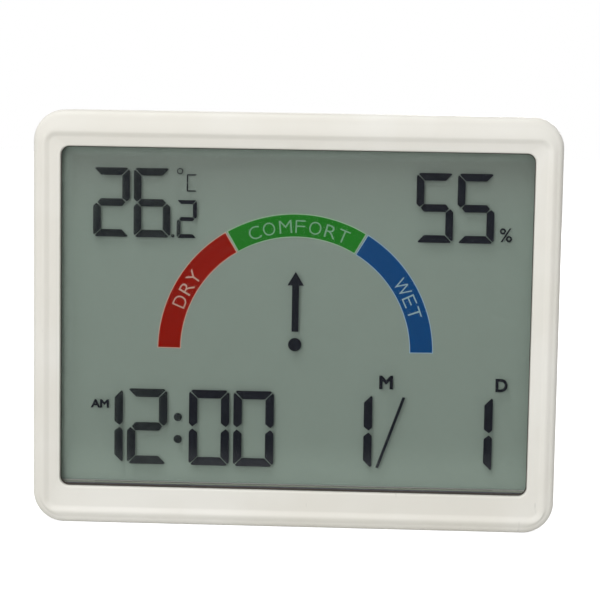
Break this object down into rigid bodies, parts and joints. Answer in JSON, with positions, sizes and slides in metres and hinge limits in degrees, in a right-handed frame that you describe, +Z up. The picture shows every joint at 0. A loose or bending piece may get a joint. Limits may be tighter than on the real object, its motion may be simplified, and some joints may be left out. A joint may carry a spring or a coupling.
{
  "type": "thermometer hygrometer clock",
  "caption": "Slim upright case with one large segment display for time, date, temperature and humidity, with a comfort arch, folding stand and rear buttons.",
  "frame": {"origin": "on the surface that the clock stands on, under the middle of its case", "axes": "+X to the right as seen from the front, +Y from the front to the back, +Z up"},
  "size_m": [0.13, 0.02, 0.103],
  "materials": {
    "case": "fine satin, cream white",
    "button": "satin, light grey",
    "switch_black": "satin black",
    "polariser": "clear film, slightly glossy",
    "display_glass": "clear",
    "seal": "epoxy line",
    "segment_dark": "dark, matt",
    "zone_red": "printed red",
    "zone_green": "printed green",
    "zone_blue": "printed blue",
    "reflector": "grey green, matt",
    "retainer_plastic": "satin",
    "contact_rubber": "layered rubber",
    "board_green": "solder mask",
    "chip_black": "epoxy blob",
    "steel": "bright plated steel",
    "capacitor_sleeve": "blue black sleeve",
    "sensor_white": "white moulding",
    "bead_glaze": "dipped epoxy bead",
    "cell_jacket": "plain cell jacket",
    "contact_nickel": "nickel plate",
    "wire_black": "wire jacket",
    "wire_red": "wire jacket"
  },
  "bodies": {
    "case": {"front_frame": "case", "rear_cover": "case", "tact_switches": "switch_black", "front_polariser": "polariser", "front_glass": "display_glass", "cell_seal": "seal", "lit_segments": "segment_dark", "rear_glass": "display_glass", "zone_dry": "zone_red", "zone_comfort": "zone_green", "zone_wet": "zone_blue", "reflector": "reflector", "lcd_retainer": "retainer_plastic", "contact_strip": "contact_rubber", "circuit_board": "board_green", "controller_chip": "chip_black", "quartz_crystal": "steel", "capacitors": "capacitor_sleeve", "humidity_sensor": "sensor_white", "thermistor": "bead_glaze", "battery_left": "cell_jacket", "battery_right": "cell_jacket", "positive_contact": "contact_nickel", "negative_contact": "contact_nickel", "link_contact": "contact_nickel", "lead_negative": "wire_black", "lead_positive": "wire_red", "board_screws": "steel", "case_screws": "steel"},
    "door": {"battery_door": "case"},
    "stand": {"folding_stand": "case"},
    "key_set": {"button_set": "button", "plunger_set": "switch_black"},
    "key_up": {"button_up": "button", "plunger_up": "switch_black"},
    "key_down": {"button_down": "button", "plunger_down": "switch_black"},
    "key_unit": {"button_unit": "button", "plunger_unit": "switch_black"}
  },
  "joints": [
    {"name": "stand_hinge", "type": "hinge", "parent": "case", "child": "stand", "pos_m": [0, 0.0081, 0.052], "axis": [1, 0, 0], "range_deg": [0, 35]},
    {"name": "door_lift", "type": "slide", "parent": "case", "child": "door", "axis": [0, 1, 0], "range_m": [0, 0.03]},
    {"name": "press_set", "type": "slide", "parent": "case", "child": "key_set", "axis": [0, -1, 0], "range_m": [0, 0.0005], "stiffness_N_per_m": 350},
    {"name": "press_up", "type": "slide", "parent": "case", "child": "key_up", "axis": [0, -1, 0], "range_m": [0, 0.0005], "stiffness_N_per_m": 350},
    {"name": "press_down", "type": "slide", "parent": "case", "child": "key_down", "axis": [0, -1, 0], "range_m": [0, 0.0005], "stiffness_N_per_m": 350},
    {"name": "press_unit", "type": "slide", "parent": "case", "child": "key_unit", "axis": [0, -1, 0], "range_m": [0, 0.0005], "stiffness_N_per_m": 350}
  ]
}
